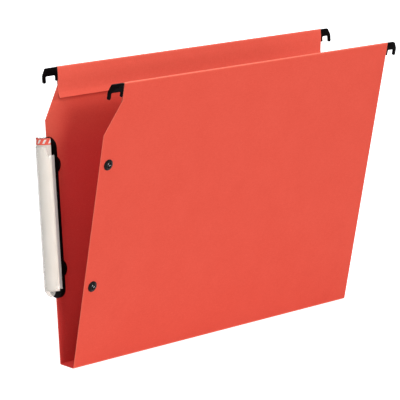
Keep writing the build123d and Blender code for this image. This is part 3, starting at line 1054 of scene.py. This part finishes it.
def rivet_profile():
    """Half section of a rivet: sunk centre, low dome, rim and shank."""
    seat = CARD / 2 + EAR_THICKNESS
    crown = RIVET_DOME_FOOT + RIVET_DOME_RISE
    head = [(0, crown - RIVET_PIT), (RIVET_PIT_R, crown - RIVET_PIT + 0.02)]
    head += [(RIVET_PIT_R + 0.25, crown - 0.04), (RIVET_CROWN_R, crown)]
    for step in range(1, 7):
        share = step / 6
        rise = RIVET_DOME_RISE * math.sqrt(1 - 0.97 * share * share)
        head.append((RIVET_CROWN_R + RIVET_DOME_WIDTH * share, RIVET_DOME_FOOT + rise))
    head += [(RIVET_R - 0.02, 0.3), (RIVET_R, 0.12), (RIVET_R - 0.08, 0), (SHANK_R, 0)]
    return [(radius, seat + rise) for radius, rise in head] + [(SHANK_R, -SHANK_END), (0, -SHANK_END)]


def make_rivets():
    """Domed rivet heads on the holder's ears."""
    bm = lathe(rivet_profile(), 48, along_panel)
    piece = fastener_pair("holder_rivets", bm, RIVET_PAIR, HOLDER_FINISH, REAR)
    nodes = ("holder_lower_rivet", "holder_upper_rivet")
    finish_piece(piece, HOLDER_FINISH, "holder_plastic", "rear_side", *nodes)


def make_rivet_caps():
    """Outer halves of the rivets, behind the rear panel."""
    bm = lathe(cap_profile(RIVET_CAP_R), 48, outwards)
    piece = fastener_pair("rivet_caps", bm, RIVET_PAIR, HOLDER_FINISH, REAR)
    nodes = ("holder_lower_rivet_cap", "holder_upper_rivet_cap")
    finish_piece(piece, HOLDER_FINISH, "holder_plastic", "rear_side", *nodes)


# Label holder


def half_stadium(radius, bottom, top, gap, hand):
    """Outline of one half of a round-ended plate, on one side of the slot for the card."""
    cut = math.degrees(math.asin(gap / radius))
    low = arc_points((0, bottom + radius), radius, 270 + cut, 360, 14)
    high = arc_points((0, top - radius), radius, 0, 90 - cut, 14)
    return [(hand * u, v) for u, v in low + high]


def stadium(radius, bottom, top):
    """Outline of a round-ended plate."""
    low = arc_points((0, bottom + radius), radius, 180, 360, 28)
    return low + arc_points((0, top - radius), radius, 0, 180, 28)


def ear_outline():
    """Inner flange of the holder: a strip beside the card's edge that swells into two ears."""
    root = HOLDER_BACK_X + FIT
    edge = HOLDER_FRONT_X + 0.4
    fillet_x = root + EAR_FILLET_R
    reach = fillet_x - EAR_X
    rise = math.sqrt((EAR_R + EAR_FILLET_R) ** 2 - reach**2)
    touch = math.degrees(math.atan2(rise, reach))
    outline = [(edge, HOLDER_BOTTOM + FLANGE_MARGIN), (root, HOLDER_BOTTOM + FLANGE_MARGIN)]
    for height in (RIVET_LOW, RIVET_LOW + RIVET_STEP):
        outline += arc_points((fillet_x, height - rise), EAR_FILLET_R, 180, 180 - touch, 7)
        outline += arc_points((EAR_X, height), EAR_R, -touch, touch, 22)
        outline += arc_points((fillet_x, height + rise), EAR_FILLET_R, 180 + touch, 180, 7)
    return outline + [(root, HOLDER_TOP - FLANGE_MARGIN), (edge, HOLDER_TOP - FLANGE_MARGIN)]


def make_holder():
    """Black back of the label holder: halves beside the card, raised front, former, and flange with ears."""
    bm = bmesh.new()
    for hand in (1, -1):
        half = half_stadium(LENS_R, HOLDER_BOTTOM, HOLDER_TOP, CARD / 2 + FIT, hand)
        add_slab(bm, half, HOLDER_FRONT_X, HOLDER_BACK_X, end_on, edge_round=0.4)
    rebate = LENS_WALL + FIT
    front = stadium(LENS_R - rebate, HOLDER_BOTTOM + rebate, HOLDER_TOP - rebate)
    add_slab(bm, front, LENS_AXIS_X, USER_EDGE, end_on, edge_round=0.15)
    former = arc_points((LENS_AXIS_X, 0), FORMER_R, 90, 270, 24)
    add_slab(bm, former, HOLDER_TOP - FORMER_LENGTH, HOLDER_TOP, level, edge_round=0.2)
    seat = CARD / 2
    add_slab(bm, ear_outline(), seat + 0.01, seat + EAR_THICKNESS, along_panel, edge_round=0.3)
    piece = new_piece("label_holder_back", bm)
    set_in_place(piece, REAR)
    finish_piece(piece, HOLDER_FINISH, "holder_plastic", "rear_side", "label_holder")


def lens_shell():
    """Open shell of the lens: half-round, domed at its foot, with its corners cut away at both ends."""
    bm = bmesh.new()
    notch_angle = math.acos(LENS_NOTCH / LENS_R)
    side_angle = math.pi / 2 - notch_angle
    bow = spaced(0, notch_angle, notch_angle / LENS_STEPS)
    bow += spaced(notch_angle, math.pi / 2, side_angle / LENS_SIDE_STEPS)[1:]
    section = [(-LENS_R * math.cos(angle), LENS_R * math.sin(angle)) for angle in bow]
    section += [(LENS_SKIRT / 2, LENS_R), (LENS_SKIRT, LENS_R)]
    last = len(section) - 1
    heights = spaced(LENS_FOOT, LENS_NOTCH_FOOT, LENS_ROW_STEP)
    heights += spaced(LENS_NOTCH_FOOT, LENS_TOP, LENS_HEAD_STEP)[1:]
    grid = {}

    def point(index, row):
        """Vertex of the half-round part; a negative index is on the other side of its middle."""
        if (index, row) not in grid:
            x, across = section[abs(index)]
            hand = 1 if index >= 0 else -1
            grid[index, row] = bm.verts.new((LENS_AXIS_X + x, heights[row], hand * across))
        return grid[index, row]

    for row in range(len(heights) - 1):
        reach = LENS_STEPS if heights[row] > LENS_NOTCH_FOOT - 0.01 else last
        for index in range(-reach, reach):
            lower = [point(index, row), point(index + 1, row)]
            upper = [point(index + 1, row + 1), point(index, row + 1)]
            bm.faces.new(lower + upper)
    dome = [[point(0, 0)]]
    for ring in range(1, LENS_STEPS + 1):
        x, radius = section[ring]
        line = [point(ring, 0)]
        for turn in range(1, LENS_TURNS):
            angle = math.pi * turn / LENS_TURNS
            height = LENS_FOOT - radius * math.sin(angle)
            line.append(bm.verts.new((LENS_AXIS_X + x, height, radius * math.cos(angle))))
        dome.append(line + [point(-ring, 0)])
    join_rings(bm, dome, closed=False)
    bmesh.ops.recalc_face_normals(bm, faces=bm.faces)
    bm.normal_update()
    facing = sum(face.normal.x * face.calc_area() for face in bm.faces)
    if facing > 0:
        bmesh.ops.reverse_faces(bm, faces=bm.faces)
    return bm


def make_lens():
    """Clear half-round cover with its wall and its rounded rim."""
    piece = new_piece("lens_cover", lens_shell())
    add_thickness(piece, LENS_WALL, offset=-1.0)
    rim = piece.modifiers.new("rim", "BEVEL")
    rim.width = LENS_RIM
    rim.segments = 2
    rim.limit_method = "ANGLE"
    rim.angle_limit = math.radians(55)
    settle_modifiers(piece)
    foot = piece.data.attributes.new("foot", "FLOAT", "POINT")
    for vert in piece.data.vertices:
        foot.data[vert.index].value = min(1.0, max(0.0, (LENS_FOOT - vert.co.y) / LENS_FOOT_SHADE))
    set_in_place(piece, REAR)
    finish_piece(piece, CLEAR_FINISH, "clear_plastic", "rear_side", "label_lens")


def make_label():
    """Paper label bowed to the inside of the lens, with a map of the flat sheet for its print."""
    bm = bmesh.new()
    sheet = bm.loops.layers.uv.new("label_sheet")
    half = math.radians(LABEL_HALF_ANGLE)
    head = HOLDER_TOP - LABEL_HEAD
    grid = []
    flat = {}
    heights = spaced(LABEL_FOOT, head, LABEL_ROW_STEP)
    heights += spaced(head, HOLDER_TOP, LABEL_HEAD_STEP)[1:]
    for height in heights:
        line = []
        for angle in spaced(-half, half, half / LABEL_STEPS):
            place = (LENS_AXIS_X - LABEL_R * math.cos(angle), height, LABEL_R * math.sin(angle))
            vert = bm.verts.new(place)
            flat[vert] = (LABEL_R * angle, HOLDER_TOP - height)
            line.append(vert)
        grid.append(line)
    join_rings(bm, grid, closed=False)
    for face in bm.faces:
        for loop in face.loops:
            loop[sheet].uv = flat[loop.vert]
    piece = new_piece("label_sheet", bm)
    add_thickness(piece, LABEL_PAPER, even=False)
    settle_modifiers(piece)
    back = piece.data.attributes.new("label_back", "FLOAT", "POINT")
    for vert in piece.data.vertices:
        from_axis = math.hypot(vert.co.x - LENS_AXIS_X, vert.co.z)
        back.data[vert.index].value = 1.0 if from_axis < LABEL_R else 0.0
    set_in_place(piece, REAR, sharp=40.0)
    finish_piece(piece, LABEL_FINISH, "label_paper", "label", "label_insert")


make_panel_card("front_card", FRONT, -1, "front_side", "front_panel")
make_panel_card("rear_card", REAR, 1, "rear_side", "rear_panel")
make_crease("front_crease", -1, FRONT_LEAN, spared=0.35)
make_crease("rear_crease", 1, REAR_LEAN, spared=1.5)
make_base_card()
make_hooks("front_hooks", FRONT, "front_side", ["front_left_hook", "front_right_hook"])
make_hooks("rear_hooks", REAR, "rear_side", ["rear_left_hook", "rear_right_hook"])
make_studs()
make_stud_springs()
make_stud_caps()
make_rivets()
make_rivet_caps()
make_holder()
make_lens()
make_label()
for rail in ("front_rail", "rear_rail"):
    for material_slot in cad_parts[rail].material_slots:
        material_slot.material = STEEL_FINISH


# Floor, light and camera


def direction(bearing, elevation):
    """Unit vector towards a bearing, in degrees round from the front, and an elevation."""
    turn = math.radians(bearing)
    rise = math.radians(elevation)
    return Vector((math.sin(turn) * math.cos(rise), -math.cos(turn) * math.cos(rise), math.sin(rise)))


def plainly_seen(tree):
    """1 where a place is seen itself, in a gloss or through the lens, and 0 where it only lights the card."""
    path = tree.nodes.new("ShaderNodeLightPath")
    seen = add_math(tree, "MAXIMUM", path.outputs["Is Camera Ray"], path.outputs["Is Glossy Ray"])
    seen = add_math(tree, "MAXIMUM", seen, path.outputs["Is Transmission Ray"])
    first_light = add_math(tree, "LESS_THAN", path.outputs["Diffuse Depth"], 0.5)
    return add_math(tree, "MULTIPLY", seen, first_light)


def make_floor():
    """Pale studio floor that shows white to the camera and keeps a faint shadow of the folder."""
    bm = bmesh.new()
    bmesh.ops.create_grid(bm, x_segments=8, y_segments=8, size=FLOOR_HALF)
    bmesh.ops.translate(bm, verts=bm.verts, vec=(0, 0, -FLOOR_DROP))
    floor = new_piece("studio_floor", bm)
    material, tree, shader = new_material("studio_floor")
    shader.inputs["Base Color"].default_value = (0.84, 0.84, 0.84, 1)
    shader.inputs["Roughness"].default_value = 0.95
    shader.inputs["Specular IOR Level"].default_value = 0.0
    shader.inputs["Emission Color"].default_value = (1, 1, 1, 1)
    glow = add_math(tree, "MULTIPLY", plainly_seen(tree), 0.80)
    tree.links.new(glow, shader.inputs["Emission Strength"])
    floor.data.materials.append(material)


def make_world():
    """White backdrop to the eye, and a weak cool fill light for the card."""
    world = bpy.data.worlds.new("studio")
    bpy.context.scene.world = world
    world.use_nodes = True
    tree = world.node_tree
    ground = tree.nodes["Background"]
    seen = plainly_seen(tree)
    tree.links.new(spread(tree, seen, 0, 1, 0.30, 1.0), ground.inputs["Strength"])
    tint = mix_colours(tree, seen, (0.95, 0.98, 1.06), (1.0, 1.0, 1.0))
    tree.links.new(tint, ground.inputs["Color"])


def add_softbox(name, bearing, elevation, distance, size, power):
    """Square soft light aimed at the folder's middle, placed by its direction from there."""
    towards = direction(bearing, elevation)
    lamp = bpy.data.lights.new(name, "AREA")
    lamp.shape = "SQUARE"
    lamp.size = size
    lamp.energy = power
    light = new_object(name, lamp)
    light.location = Vector((0, 0, LIGHT_AIM_HEIGHT)) * MM + towards * distance
    light.rotation_euler = towards.to_track_quat("Z", "Y").to_euler()


def make_camera():
    """Camera of the photograph: its bearing, height, slight roll and long lens."""
    roll = math.radians(CAMERA_ROLL)
    back = direction(CAMERA_BEARING, CAMERA_ELEVATION)
    right = Vector((0, 0, 1)).cross(back).normalized()
    up = back.cross(right)
    rolled_right = right * math.cos(roll) + up * math.sin(roll)
    rolled_up = up * math.cos(roll) - right * math.sin(roll)
    aim = Vector((0, 0, AIM_HEIGHT)) + rolled_right * AIM_ASIDE
    lens = bpy.data.cameras.new("camera")
    lens.sensor_width = CAMERA_SENSOR
    lens.lens = CAMERA_LENS
    camera = new_object("camera", lens)
    turn = Matrix((rolled_right, rolled_up, back)).transposed().to_4x4()
    camera.matrix_world = Matrix.Translation((aim + back * CAMERA_DISTANCE) * MM) @ turn
    bpy.context.scene.camera = camera


make_floor()
make_world()
add_softbox("key_softbox", bearing=-9.0, elevation=21.0, distance=4.0, size=0.8, power=37.0)
add_softbox("right_softbox", bearing=30.0, elevation=22.0, distance=5.0, size=0.95, power=62.0)
add_softbox("top_softbox", bearing=-65.0, elevation=66.0, distance=1.2, size=0.6, power=8.2)
add_softbox("back_softbox", bearing=152.0, elevation=8.0, distance=2.4, size=0.8, power=32.0)
make_camera()
bpy.context.scene.view_settings.view_transform = "Standard"
